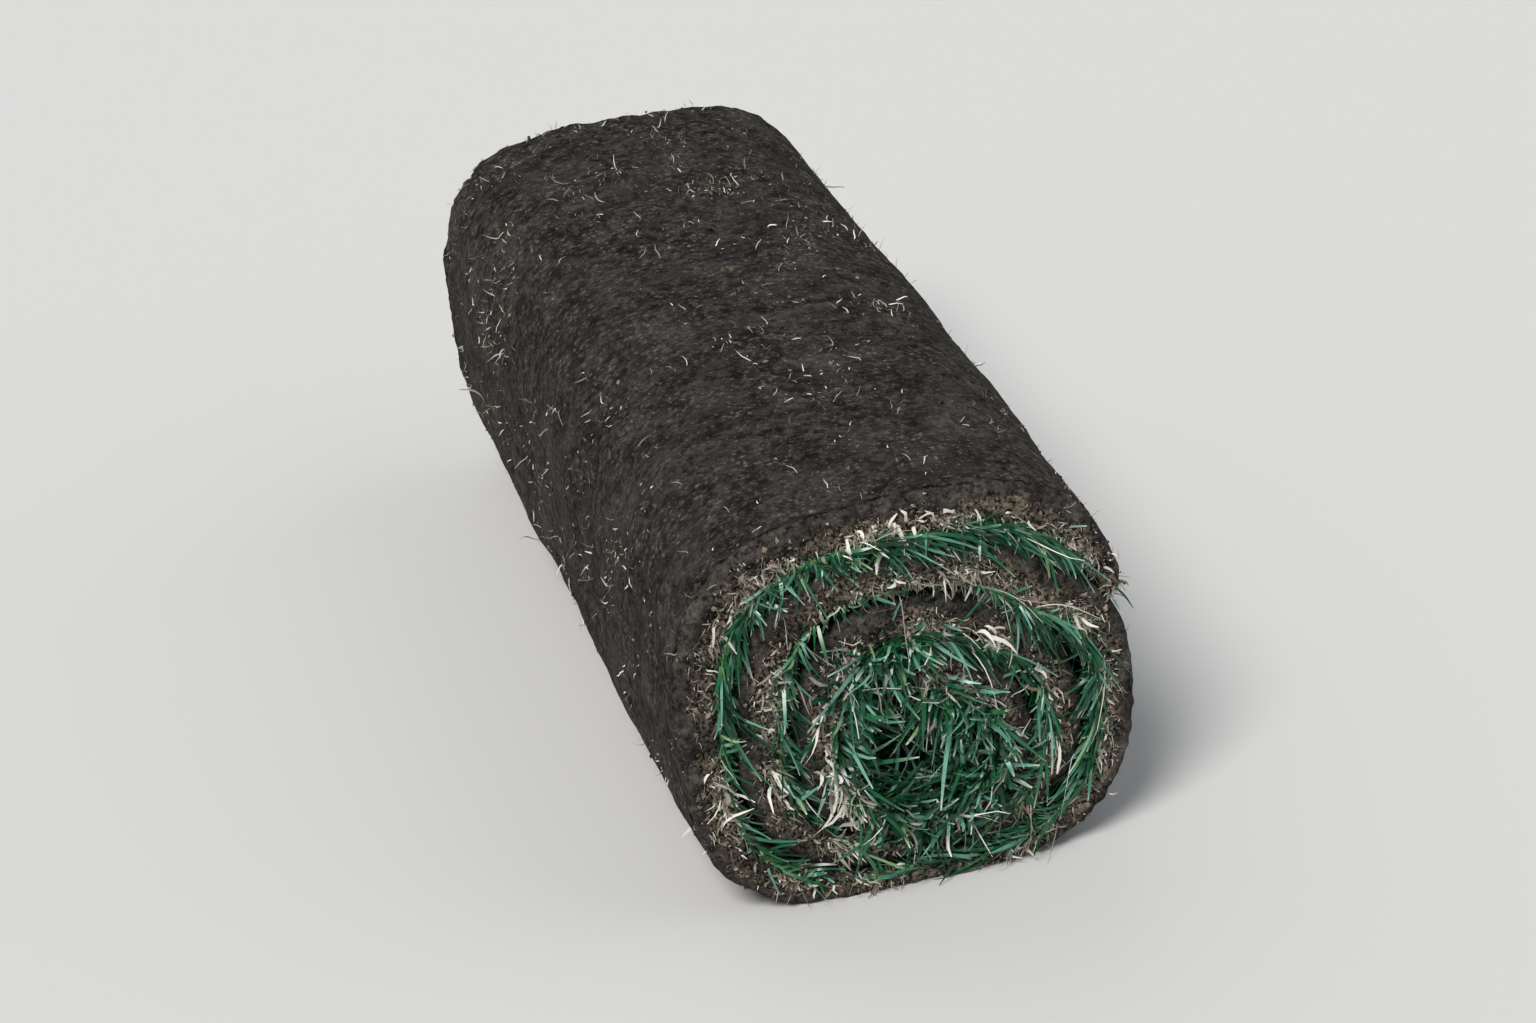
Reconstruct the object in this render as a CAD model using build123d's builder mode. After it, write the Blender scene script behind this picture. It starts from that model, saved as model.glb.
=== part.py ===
from build123d import *
import math
import os

# A roll of turf lying on its side: one strip of soil, roots and grass, wound up with the grass inwards.
# Millimetres, +Z up. The strip's width runs along Y, and the end that shows in front is at -Y.
# The origin is on the floor, under the middle of the roll.

# The strip: its cut width, and the thickness of its soil and thatch
strip_width = 610
strip_thickness = 19

# How it is wound: turns from the outer end to the inner end, and the room its pressed grass takes up
turns = 3.2
grass_gap = 8.5
outer_end_angle = 18
core_width = 31
core_height = 62

# How it is squeezed: its turns lie closer above and below the core, and the core hangs low and to the right
weight_squeeze = 7
core_sink_per_lap = 6.5
core_shift_per_lap = 1.7
underside_press = 2

# How square the outside is, as the power of its curve. 2 is an ellipse, which the core comes down to.
outside_power = 3.3
core_power = 2

# Each turn bends inwards to pass under the one before, in a short stretch that gets longer towards the core
bend_angle = 22
bend_span = 43

# The outer end is pressed thin, and a notch runs in under it along the whole strip width
outer_end_gap = 1
outer_end_taper_angle = 29
open_gap_angle = 8

# The gaps between the turns show in both ends of the roll, down to this depth
end_gap_depth = 45

# Each turn is drawn with this many short arcs
arcs_per_turn = 36

full_turn = 360
side_pitch = strip_thickness + grass_gap
upright_pitch = side_pitch - weight_squeeze
thickness_share = strip_thickness / side_pitch
laps = math.floor(turns)
pitches_to_core = laps + thickness_share
half_width = core_width / 2 + side_pitch * pitches_to_core
half_height = core_height / 2 + upright_pitch * pitches_to_core
middle_height = half_height - underside_press


def ease(share):
    """Goes smoothly from 0 to 1 as the share does, and stays level outside that."""
    held = min(max(share, 0), 1)
    return held * held * (3 - 2 * held)


def angle_at(turn):
    """The direction from the coil's middle after so many turns from the outer end, counter-clockwise."""
    return outer_end_angle + full_turn * turn


def pitches_inside(turn):
    """How many pitches the strip's underside lies inside the outline, after so many turns."""
    inside = 0
    for lap in range(1, laps + 1):
        past_bend = angle_at(turn) - bend_angle - full_turn * lap
        inside += ease(0.5 + past_bend / (bend_span * lap))
    return inside


def coil_point(inside, angle):
    """The point in a direction, on the squeezed ring that lies so many pitches inside the outline."""
    ring_half_width = half_width - side_pitch * inside
    ring_half_height = half_height - upright_pitch * inside
    power = core_power + (outside_power - core_power) * max(0, 1 - inside / laps)
    across = math.cos(math.radians(angle))
    up = math.sin(math.radians(angle))
    radius = (abs(across / ring_half_width) ** power + abs(up / ring_half_height) ** power) ** (-1 / power)
    x = core_shift_per_lap * inside + radius * across
    z = middle_height - core_sink_per_lap * inside + radius * up
    return (x, z)


outer_end_share = pitches_inside(1) - outer_end_gap / side_pitch


def underside(turn):
    """The soil side of the strip, which faces outwards."""
    return coil_point(pitches_inside(turn), angle_at(turn))


def grass_side(turn):
    """The thatch side of the strip, which faces inwards. It comes closer to the soil side at the outer end."""
    tapered = ease(full_turn * turn / outer_end_taper_angle)
    share = outer_end_share + (thickness_share - outer_end_share) * tapered
    return coil_point(pitches_inside(turn) + share, angle_at(turn))


def draw(side, start, end):
    """Draws one side of the strip from one turn to another, in short arcs."""
    arcs = math.ceil(abs(end - start) * arcs_per_turn)
    step = (end - start) / arcs
    for number in range(arcs):
        first = start + step * number
        ThreePointArc(side(first), side(first + step / 2), side(first + step))


open_turns = open_gap_angle / full_turn
last_lap_start = turns - 1

with BuildPart() as turf_roll:
    # The whole outside of the coil, with the step of the outer end and the gap that runs in under it
    with BuildSketch(Plane.XZ):
        with BuildLine():
            draw(underside, 0, 1 + open_turns)
            Line(underside(1 + open_turns), grass_side(open_turns))
            draw(grass_side, open_turns, 0)
            Line(grass_side(0), underside(0))
        make_face()
    extrude(amount=strip_width / 2, both=True)

    # The hollow core, with the step of the strip's inner end in it
    with BuildSketch(Plane.XZ):
        with BuildLine():
            draw(grass_side, last_lap_start, turns)
            Line(grass_side(turns), underside(turns))
            Line(underside(turns), grass_side(last_lap_start))
        make_face()
    extrude(amount=strip_width / 2, both=True, mode=Mode.SUBTRACT)

    # The gaps between the turns, sunk in from both ends
    for gap_bottom in (strip_width / 2 - end_gap_depth, -strip_width / 2):
        with BuildSketch(Plane.XZ.offset(gap_bottom)):
            with BuildLine():
                draw(grass_side, open_turns, last_lap_start)
                Line(grass_side(last_lap_start), underside(turns))
                draw(underside, turns, 1 + open_turns)
                Line(underside(1 + open_turns), grass_side(open_turns))
            make_face()
        extrude(amount=end_gap_depth, mode=Mode.SUBTRACT)

    # The underside is pressed flat where the roll lies on the floor
    split(bisect_by=Plane.XY, keep=Keep.TOP)

turf_roll.part.label = "turf_roll"

os.makedirs("parts", exist_ok=True)
export_step(turf_roll.part, "parts/turf_roll.step")
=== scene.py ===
import math

import bmesh
import bpy
import numpy as np
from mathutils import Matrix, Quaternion, Vector, noise


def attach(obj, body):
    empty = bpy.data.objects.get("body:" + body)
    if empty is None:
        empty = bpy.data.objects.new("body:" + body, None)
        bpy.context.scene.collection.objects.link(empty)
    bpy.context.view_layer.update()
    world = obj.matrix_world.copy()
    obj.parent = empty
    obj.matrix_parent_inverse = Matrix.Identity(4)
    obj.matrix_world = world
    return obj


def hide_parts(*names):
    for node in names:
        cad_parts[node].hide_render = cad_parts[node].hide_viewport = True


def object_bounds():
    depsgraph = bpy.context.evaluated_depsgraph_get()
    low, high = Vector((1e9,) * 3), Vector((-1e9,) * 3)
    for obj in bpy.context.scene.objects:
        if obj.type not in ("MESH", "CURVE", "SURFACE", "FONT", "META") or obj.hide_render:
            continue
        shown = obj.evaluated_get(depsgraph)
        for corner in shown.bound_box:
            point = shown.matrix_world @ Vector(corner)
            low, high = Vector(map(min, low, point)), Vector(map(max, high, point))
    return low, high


# A roll of turf lying on its side, as a strip of soil and thatch wound with its grass inwards.
# Metres, +Z up. The strip's width runs along Y, and the end that shows in front is at -Y.

bl_info = {
    "name": "Roll of turf",
    "version": (1, 0, 0),
    "blender": (4, 5, 0),
    "location": "3D View > Sidebar > Turf",
    "description": "Builds a wound strip of turf with its soil, thatch, roots and grass",
    "category": "Add Mesh",
}

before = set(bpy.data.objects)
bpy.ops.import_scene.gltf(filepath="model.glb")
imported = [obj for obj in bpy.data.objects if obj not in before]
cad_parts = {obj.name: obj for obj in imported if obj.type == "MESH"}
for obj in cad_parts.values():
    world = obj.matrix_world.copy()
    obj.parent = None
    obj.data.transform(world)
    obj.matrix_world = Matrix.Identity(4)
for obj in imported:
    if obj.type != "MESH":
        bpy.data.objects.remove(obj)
CAD_LOW, CAD_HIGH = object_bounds()
MM = 0.001
BODY = "root"
NODE = "turf_roll"

HALF_WIDTH = (CAD_HIGH.x - CAD_LOW.x) / 2
HALF_LENGTH = (CAD_HIGH.y - CAD_LOW.y) / 2
UNDERSIDE_PRESS = 2 * MM
HALF_HEIGHT = (CAD_HIGH.z - CAD_LOW.z + UNDERSIDE_PRESS) / 2
MIDDLE_HEIGHT = HALF_HEIGHT - UNDERSIDE_PRESS


# Properties

def length_property(name, description, default):
    return bpy.props.FloatProperty(name=name, description=description, default=default, unit="LENGTH")


def colour_property(name, description, default):
    return bpy.props.FloatVectorProperty(
        name=name, description=description, default=default, size=3, min=0, max=1, subtype="COLOR")


class TurfSizes(bpy.types.PropertyGroup):
    turns: bpy.props.FloatProperty(
        name="Turns", description="Turns from the outer end to the inner end", default=3.2, min=2, max=4)
    thickness: length_property("Thickness", "Soil and thatch of one turn", 0.019)
    gap: length_property("Gap", "Room for the pressed grass between two turns", 0.0085)
    skin_step: length_property("Skin step", "Mesh size on the outside", 0.0037)
    end_step: length_property("End step", "Mesh size on the cut edges", 0.00142)
    blade_long: length_property("Blade length", "Longest grass blade", 0.050)
    blade_wide: length_property("Blade width", "Width of a grass blade", 0.0020)
    fibre_long: length_property("Fibre length", "Longest thatch fibre", 0.015)
    stem_long: length_property("Stem length", "Longest dead stem", 0.040)


class TurfColours(bpy.types.PropertyGroup):
    # The darkest soil serves as dark soil and as painted shade, in the outside's pits and between its loose
    # lumps.
    soil_dark_and_shade: colour_property("Dark soil", "Dark soil, and painted shade in the hollows", (0.0065, 0.0066, 0.0058))
    soil: colour_property("Soil", "Cut soil", (0.045, 0.040, 0.037))
    soil_dry: colour_property("Dry soil", "Dry crumbs and smears", (0.205, 0.178, 0.155))
    soil_warm: colour_property("Brown soil", "Granules between the roots", (0.320, 0.255, 0.190))
    humus: colour_property("Humus", "Brown matter between the stems", (0.074, 0.063, 0.048))
    thatch: colour_property("Thatch", "Dead stems under the grass", (0.300, 0.264, 0.206))
    straw: colour_property("Straw", "Palest stems and roots", (0.80, 0.77, 0.67))
    # The darkest blades are partly darker grass and partly painted shade.
    blade_dark_and_shade: colour_property("Dark blade", "Deep green grass", (0.001, 0.022, 0.010))
    blade: colour_property("Blade", "Middle green grass", (0.011, 0.116, 0.043))
    # A painted sky sheen, which a share of the blades takes in place of a highlight.
    blade_sky_sheen: colour_property("Cool blade", "Painted bluish sky sheen on grass", (0.165, 0.385, 0.300))
    blade_pale: colour_property("Pale blade", "Yellow green blade bases", (0.24, 0.36, 0.14))


def sizes():
    return bpy.context.scene.turf_sizes


def tinted(name):
    """One of the roll's colours, as a shader takes it."""
    return (*getattr(bpy.context.scene.turf_colours, name), 1.0)


# The wound strip's curve, the same as the solid's

OUTER_END_ANGLE = 18
BEND_ANGLE = 22
BEND_SPAN = 43
OUTER_END_GAP = 1 * MM
OUTER_END_TAPER_ANGLE = 29
WEIGHT_SQUEEZE = 7 * MM
CORE_SINK = 6.5 * MM
CORE_SHIFT = 1.7 * MM
OUTSIDE_POWER = 3.3
CORE_POWER = 2
FULL_TURN = 360

# Points that the curve is measured with, and the turns to either side that give its direction
CURVE_POINTS = 2000
SMALL_TURN = 0.001


def ease(share):
    held = np.clip(share, 0, 1)
    return held * held * (3 - 2 * held)


def pitches_inside(turn):
    """How many pitches the strip's soil side lies inside the outline."""
    laps = math.floor(sizes().turns)
    inside = np.zeros_like(np.asarray(turn, dtype=float))
    for lap in range(1, laps + 1):
        past_bend = OUTER_END_ANGLE + FULL_TURN * turn - BEND_ANGLE - FULL_TURN * lap
        inside = inside + ease(0.5 + past_bend / (BEND_SPAN * lap))
    return inside


def coil_point(inside, turn):
    """X and Z on the squeezed ring that lies so many pitches inside the outline."""
    side_pitch = sizes().thickness + sizes().gap
    half_wide = HALF_WIDTH - side_pitch * inside
    half_tall = HALF_HEIGHT - (side_pitch - WEIGHT_SQUEEZE) * inside
    laps = math.floor(sizes().turns)
    power = CORE_POWER + (OUTSIDE_POWER - CORE_POWER) * np.maximum(0, 1 - inside / laps)
    angle = np.radians(OUTER_END_ANGLE + FULL_TURN * turn)
    across, up = np.cos(angle), np.sin(angle)
    radius = (np.abs(across / half_wide) ** power + np.abs(up / half_tall) ** power) ** (-1 / power)
    x = CORE_SHIFT * inside + radius * across
    z = MIDDLE_HEIGHT - CORE_SINK * inside + radius * up
    return np.stack([x, z], axis=-1)


def strip_point(turn, depth):
    """X and Z in the strip: depth is 0 on its soil side and 1 on its grass side."""
    turn = np.asarray(turn, dtype=float)
    side_pitch = sizes().thickness + sizes().gap
    full_share = sizes().thickness / side_pitch
    end_share = pitches_inside(np.asarray(1.0)) - OUTER_END_GAP / side_pitch
    share = end_share + (full_share - end_share) * ease(FULL_TURN * turn / OUTER_END_TAPER_ANGLE)
    return coil_point(pitches_inside(turn) + share * depth, turn)


def strip_normal(turn, depth):
    """The direction out of the soil side, in the end plane."""
    run = strip_point(turn + SMALL_TURN, depth) - strip_point(turn - SMALL_TURN, depth)
    run /= np.linalg.norm(run, axis=-1, keepdims=True)
    return np.stack([run[..., 1], -run[..., 0]], axis=-1)


def distance_along(points):
    """The distance of each point from the first one, along the line through them."""
    return np.concatenate([[0], np.cumsum(np.linalg.norm(np.diff(points, axis=0), axis=1))])


def even_turns(start, end, step, depth=0.0):
    """Turns from start to end, spaced evenly along the strip at one depth."""
    fine = np.linspace(start, end, CURVE_POINTS)
    run = distance_along(strip_point(fine, depth))
    count = max(2, int(round(run[-1] / step)))
    return np.interp(np.linspace(0, run[-1], count + 1), run, fine)


# The soil's relief, in layers. Each has the size of its lumps and their height, in mm, and a seed

SKIN_LAYERS = ((120, 3.2, 0.0), (45, 1.4, 5.3), (17, 0.8, 3.1), (6, 0.35, 7.7))
CUT_LAYERS = ((11, 2.2, 0.0), (4.2, 1.5, 4.0))
RAGGED_LAYERS = ((8, 1.9, 13.0), (3.5, 0.9, 17.0))
OUTER_END_LAYERS = ((110, 11, 51.0), (30, 5, 53.0), (10, 3, 55.0))
CUT_SEED = 5.0

# How the cut edges wander in and out from turn to turn: the rate, the phase and the height in mm
END_WAVES = ((7.3, 0.8, 1.3), (17.1, 2.0, 0.8), (3.1, 0.0, 1.2))
END_WAVE_SHIFT = 0.37
END_INSET = 0.8 * MM

# How far the crumbling of the cut edges reaches along the roll, and how far back the outer end is ragged
RAGGED_REACH = 14 * MM
OUTER_END_REACH = 25 * MM

# How round the strip's corners are worn, and how much of a full round
SOIL_CORNER = 6.5 * MM
GRASS_CORNER = 4 * MM
CORNER_WEAR = 0.8


def lumps(x, y, z, size, seed=0.0):
    """Smooth noise from -1 to 1 with lumps of about that size."""
    return noise.noise(Vector((x / size + seed, y / size - seed, z / size + 2 * seed)))


def relief(x, y, z, layers, seed=0.0):
    """Height of several layers of lumps together."""
    return sum(lumps(x, y, z, size * MM, own_seed + seed) * high for size, high, own_seed in layers) * MM


def ragged(x, y, z):
    """How far the strip's sides crumble in or bulge out close to a cut edge."""
    near = max(0.0, 1 - (HALF_LENGTH - abs(y)) / RAGGED_REACH)
    return near * relief(x, y, z, RAGGED_LAYERS)


def outer_end_wander(y):
    """How far the strip's outer end comes forward or falls back along the roll."""
    return relief(0.0, y, 0.0, OUTER_END_LAYERS)


def end_plane(turn, side):
    """Y of the strip's cut edge, before its relief."""
    shifted = turn + END_WAVE_SHIFT * side
    wander = sum(high * np.sin(shifted * rate + phase) for rate, phase, high in END_WAVES) * MM
    return side * (HALF_LENGTH - END_INSET + wander)


def worn_corner(distance, depth):
    """How far a worn edge falls back at a distance from the corner. The soil side is worn rounder."""
    radius = SOIL_CORNER if depth < 0.5 else GRASS_CORNER
    share = max(0.0, 1 - distance / radius)
    return radius * (1 - math.sqrt(1 - share * share)) * CORNER_WEAR


# Mesh helpers

def new_object(name, vertices, faces):
    mesh = bpy.data.meshes.new(name)
    mesh.from_pydata([tuple(v) for v in vertices], [], [tuple(f) for f in faces])
    mesh.validate()
    mesh.shade_smooth()
    piece = bpy.data.objects.new(name, mesh)
    bpy.context.scene.collection.objects.link(piece)
    return piece


def grid_faces(numbers):
    """Quads of a grid of points, given the points' numbers."""
    corners = [numbers[:-1, :-1], numbers[1:, :-1], numbers[1:, 1:], numbers[:-1, 1:]]
    return np.stack(corners, axis=-1).reshape(-1, 4).tolist()


def add_values(mesh, name, values, kind="FLOAT"):
    attribute = mesh.attributes.new(name, kind, "POINT")
    field = "vector" if kind == "FLOAT_VECTOR" else "value"
    attribute.data.foreach_set(field, np.asarray(values, dtype=np.float32).ravel())


def finish_piece(piece):
    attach(piece, BODY)
    return piece


# The mat

# Where the cut edges have points, from the soil side to the grass side
DEPTH_SHARES = (0, 0.04, 0.09, 0.16, 0.24, 0.32, 0.40, 0.48, 0.56, 0.64, 0.72, 0.80, 0.87, 0.93, 1.0)
MIDDLE = len(DEPTH_SHARES) // 2
DEEPEST = len(DEPTH_SHARES) - 1

# The rows along the roll start this far from the cut edges, and the soil side is outside for so many turns
ROW_INSET = 5 * MM
OUTSIDE_TURNS = 1.07

# The rows that the hidden sides have near each cut edge
NEAR_ROWS = (0, 1, 3, 6, 10, 15, 24)


class MatBuilder:
    """Builds the wound strip as one closed skin: fine where it shows and coarse between the turns."""

    def __init__(self):
        self.points = []
        self.faces = []
        self.depths = []
        self.ends = []
        turns = even_turns(0, sizes().turns, sizes().end_step, 0.5)
        if len(turns) % 2 == 0:
            more = np.linspace(0, 1, len(turns) + 1)
            turns = np.interp(more, np.linspace(0, 1, len(turns)), turns)
        self.turns = turns
        self.last = len(turns) - 1
        self.flat = [strip_point(turns, depth) for depth in DEPTH_SHARES]
        self.soil_normals = strip_normal(turns, 0.0)
        self.grass_normals = -strip_normal(turns, 1.0)
        self.thick = np.linalg.norm(self.flat[0] - self.flat[-1], axis=-1)
        self.run = distance_along(self.flat[MIDDLE])
        count = int(round(2 * HALF_LENGTH / sizes().skin_step))
        self.row_shares = np.linspace(0, 1, count)
        near = [*NEAR_ROWS, count // 3, count // 2]
        self.coarse_rows = sorted(set(near + [count - 1 - row for row in near]))
        self.edges = {side: self.cut_edge(side) for side in (-1, 1)}
        self.sides()

    def add(self, i, j, y, end):
        """Adds the point at a turn and a depth, moved by the relief there, and returns its number."""
        x, z = self.flat[j][i]
        share = DEPTH_SHARES[j]
        lift = relief(x, y, z, SKIN_LAYERS) + ragged(x, y, z)
        shift = self.soil_normals[i] * (1 - share) * lift + self.grass_normals[i] * share * lift
        if self.run[i] < OUTER_END_REACH:
            ahead = np.array([self.soil_normals[i][1], -self.soil_normals[i][0]])
            shift = shift + ahead * (outer_end_wander(y) * (1 - self.run[i] / OUTER_END_REACH))
        self.points.append([x + shift[0], y, max(z + shift[1], 0.0)])
        self.depths.append(share)
        self.ends.append(end)
        return len(self.points) - 1

    def cut_edge(self, side):
        """One cut edge, from the outer end to the inner end. Returns the numbers of its points."""
        numbers = np.zeros((self.last + 1, DEEPEST + 1), dtype=int)
        for i in range(self.last + 1):
            plane = end_plane(self.turns[i], side)
            for j, share in enumerate(DEPTH_SHARES):
                x, z = self.flat[j][i]
                to_side = min(share, 1 - share) * self.thick[i]
                corner = min(to_side, self.run[i], self.run[self.last] - self.run[i])
                fall = worn_corner(corner, share) + relief(x, 0.0, z, CUT_LAYERS, CUT_SEED + side)
                numbers[i, j] = self.add(i, j, plane - side * fall, 1.0)
        self.faces += grid_faces(numbers)
        return numbers

    def row_point(self, i, j, row):
        front = end_plane(self.turns[i], -1) + ROW_INSET
        back = end_plane(self.turns[i], 1) - ROW_INSET
        return self.add(i, j, front + (back - front) * self.row_shares[row], 0.0)

    def sides(self):
        """The strip's sides and its two ends, which close the skin between the cut edges."""
        open_column = int(np.searchsorted(self.turns, OUTSIDE_TURNS) // 2 * 2)
        outer_loop = [(0, j) for j in range(DEEPEST, 0, -1)] + [(i, 0) for i in range(0, open_column + 1, 2)]
        inner_loop = [(i, 0) for i in range(open_column, self.last, 2)]
        inner_loop += [(self.last, j) for j in range(DEEPEST)]
        inner_loop += [(i, DEEPEST) for i in range(self.last, 0, -2)] + [(0, DEEPEST)]
        rows = range(len(self.row_shares))
        outer = np.array([[self.row_point(i, j, row) for row in rows] for i, j in outer_loop])
        self.faces += grid_faces(outer)
        inner = [[outer[-1, row] for row in self.coarse_rows]]
        inner += [[self.row_point(i, j, row) for row in self.coarse_rows] for i, j in inner_loop[1:-1]]
        inner.append([outer[0, row] for row in self.coarse_rows])
        self.hidden_faces(outer, inner)
        for side, row in ((-1, 0), (1, -1)):
            rim = [*outer[:, row], *(column[row] for column in inner[1:])]
            self.rim_faces(side, outer_loop + inner_loop[1:], rim)

    def hidden_faces(self, outer, inner):
        """Faces of the coarse sides. Where they meet the fine ones, a face takes in all the points there."""
        last = len(inner) - 1
        for c in range(last):
            for r, (low, high) in enumerate(zip(self.coarse_rows, self.coarse_rows[1:])):
                if c == 0:
                    shared = [outer[-1, row] for row in range(high, low - 1, -1)]
                    face = [inner[1][r], inner[1][r + 1], *shared]
                elif c == last - 1:
                    shared = [outer[0, row] for row in range(low, high + 1)]
                    face = [inner[c][r + 1], inner[c][r], *shared]
                else:
                    face = [inner[c][r], inner[c + 1][r], inner[c + 1][r + 1], inner[c][r + 1]]
                self.faces.append(face)

    def rim_faces(self, side, loop, rim):
        """Faces between a cut edge and the first row along the sides, all round the strip."""
        numbers = self.edges[side]
        for c in range(len(loop) - 1):
            (i, j), (k, m) = loop[c], loop[c + 1]
            passed = [numbers[(i + k) // 2, j]] if j == m and abs(i - k) == 2 else []
            self.faces.append([numbers[i, j], *passed, numbers[k, m], rim[c + 1], rim[c]])


def set_outward(mesh):
    shape = bmesh.new()
    shape.from_mesh(mesh)
    bmesh.ops.recalc_face_normals(shape, faces=shape.faces)
    shape.to_mesh(mesh)
    shape.free()


# Surfaces that strands and crumbs grow from

SURFACE_STEP = 3 * MM
SURFACE_ROWS = 4

# Places along the strip where grass or pale stems stand thicker or thinner: the turn, the spread and how much
GRASS_CLUMPS = (
    (0.16, 0.11, 1.5), (0.46, 0.08, -0.55), (0.66, 0.12, -0.82), (0.85, 0.05, -0.3), (1.06, 0.08, 0.9),
    (1.30, 0.05, -0.5), (1.68, 0.14, -0.70), (1.45, 0.08, -0.5), (2.50, 0.05, -0.6))
STEM_CLUMPS = (
    (0.19, 0.06, 1.1), (0.40, 0.10, -0.7), (0.49, 0.03, 0.9), (1.30, 0.03, 1.0), (1.45, 0.04, 0.6),
    (2.10, 0.045, 2.0), (2.50, 0.07, 6.0), (2.72, 0.04, 2.0))

# The far end has the same clumps, so many turns further on
CLUMP_SHIFT = 0.31

# In the outer turns the grass leans this much inwards, up to a turn and fading out over some of a turn
OUTER_LEAN = 0.5
LEAN_UNTIL = 1.25
LEAN_FADE = 0.3

# The outer end's fringe grows on these turns, on this many columns along the roll
SEAM_TURNS = (0.006, 0.030)
SEAM_COLUMNS = 200
SEAM_INSET = 4 * MM

# The mesh that the roots and crumbs of the outside grow from
SKIN_SURFACE_STEP = 8 * MM
SKIN_SURFACE_ROWS = 60
SKIN_SINK = 0.3 * MM


class Surface:
    """Collects the points of a surface, with the directions and the thickness of what grows there."""

    def __init__(self):
        self.points = []
        self.vectors = {"along": [], "inward": [], "outward": []}
        self.weights = []

    def add(self, point, along, inward, outward, weight):
        self.points.append(point)
        for values, vector in zip(self.vectors.values(), (along, inward, outward)):
            values.append(vector)
        self.weights.append(weight)

    def build(self, name, columns):
        numbers = np.arange(len(self.points)).reshape(columns, -1)
        piece = new_object(name, self.points, grid_faces(numbers))
        for label, values in self.vectors.items():
            add_values(piece.data, label, values, "FLOAT_VECTOR")
        add_values(piece.data, "weight", self.weights)
        return piece


def upright_vector(pair):
    """A direction in the end plane, as a vector."""
    return np.array((pair[0], 0.0, pair[1]))


def down_along(turn, depth):
    """The way the grass lies along the strip: downhill, and towards the strip's outer end on top."""
    normal = strip_normal(turn, depth)
    to_outer_end = np.stack([normal[..., 1], -normal[..., 0]], axis=-1)
    downhill = -to_outer_end[..., 1:2]
    return to_outer_end * np.clip(downhill * 3.0 + 0.75, -1.0, 1.3)


def clump(turn, side, places):
    """How much more stands at a turn than elsewhere."""
    at = turn - CLUMP_SHIFT * max(0, side)
    return sum(much * math.exp(-((at - centre) / spread) ** 2) for centre, spread, much in places)


def band_surface(name, start, end, side, begin, deep, patchy):
    """A band of the grass side, from a cut edge inwards. Where grass is thick it lies along the strip."""
    turns = even_turns(start, end, SURFACE_STEP, 1.0)
    flat = strip_point(turns, 1.0)
    inward = -strip_normal(turns, 1.0)
    along = down_along(turns, 1.0)
    leaning = OUTER_LEAN * ease((LEAN_UNTIL - turns) / LEAN_FADE)
    surface = Surface()
    combs = []
    for i, turn in enumerate(turns):
        thicker = clump(turn, side, GRASS_CLUMPS)
        comb = min(1.0, max(0.0, thicker))
        lying = upright_vector(along[i]) * (0.65 + 0.35 * comb)
        leant = upright_vector(inward[i]) * (1 - 0.50 * comb)
        for row in range(SURFACE_ROWS):
            share = row / (SURFACE_ROWS - 1)
            x, z = flat[i]
            y = end_plane(turn, side) - side * (1.2 * MM + begin + deep * share)
            patch = 0.75 + patchy * lumps(x, y, z, 0.03, 11.0 + side) * 1.6
            weight = (1 + thicker) * max(0.05, patch) * (1 - 0.75 * share)
            outward = np.array((0.0, float(side), 0.0)) + leant * leaning[i]
            surface.add((x, y, max(z, 0.0)), lying, leant, outward, weight)
            combs.append(0.20 * comb)
    piece = surface.build(name, len(turns))
    add_values(piece.data, "combed", combs)
    return piece


def edge_surface(name, side, depths, patchy=0.5, base=1.0, clumps=0.0):
    """A band of a cut edge, between two depths of the strip."""
    turns = even_turns(0.0, sizes().turns, SURFACE_STEP, 0.5)
    row_depths = depths[0] + (depths[1] - depths[0]) * (np.arange(SURFACE_ROWS) / (SURFACE_ROWS - 1))
    flats = [strip_point(turns, depth) for depth in row_depths]
    inward = -strip_normal(turns, sum(depths) / 2)
    along = down_along(turns, sum(depths) / 2)
    surface = Surface()
    for i, turn in enumerate(turns):
        more = base + clumps * clump(turn, side, STEM_CLUMPS)
        for depth, flat in zip(row_depths, flats):
            x, z = flat[i]
            worn = worn_corner(min(depth, 1 - depth) * sizes().thickness, depth)
            y = end_plane(turn, side) - side * (0.4 * MM + worn)
            weight = more * max(0.05, 0.6 + patchy * lumps(x, y, z, 0.024, 23.0 + side) * 1.6)
            surface.add((x, y, max(z, 0.0)), upright_vector(along[i]), upright_vector(inward[i]),
                        (0.0, float(side), 0.0), weight)
    return surface.build(name, len(turns))


def seam_surface(name):
    """The grass side just behind the strip's outer end, along the whole roll."""
    turns = np.linspace(*SEAM_TURNS, SURFACE_ROWS)
    surface = Surface()
    for (x, z), normal in zip(strip_point(turns, 1.0), strip_normal(turns, 1.0)):
        for column in range(SEAM_COLUMNS):
            y = (2 * column / (SEAM_COLUMNS - 1) - 1) * (HALF_LENGTH - SEAM_INSET)
            back = outer_end_wander(y) * 0.8
            point = (x + normal[1] * back, y, z - normal[0] * back)
            tuft = max(0.0, lumps(*point, 0.055, 61.0) + 0.15) + max(0.0, lumps(*point, 0.013, 63.0)) * 0.8
            surface.add(point, (normal[1], 0.0, -normal[0]), (0.0, 1.0, 0.0), upright_vector(normal),
                        0.02 + tuft ** 2)
    return surface.build(name, len(turns))


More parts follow.
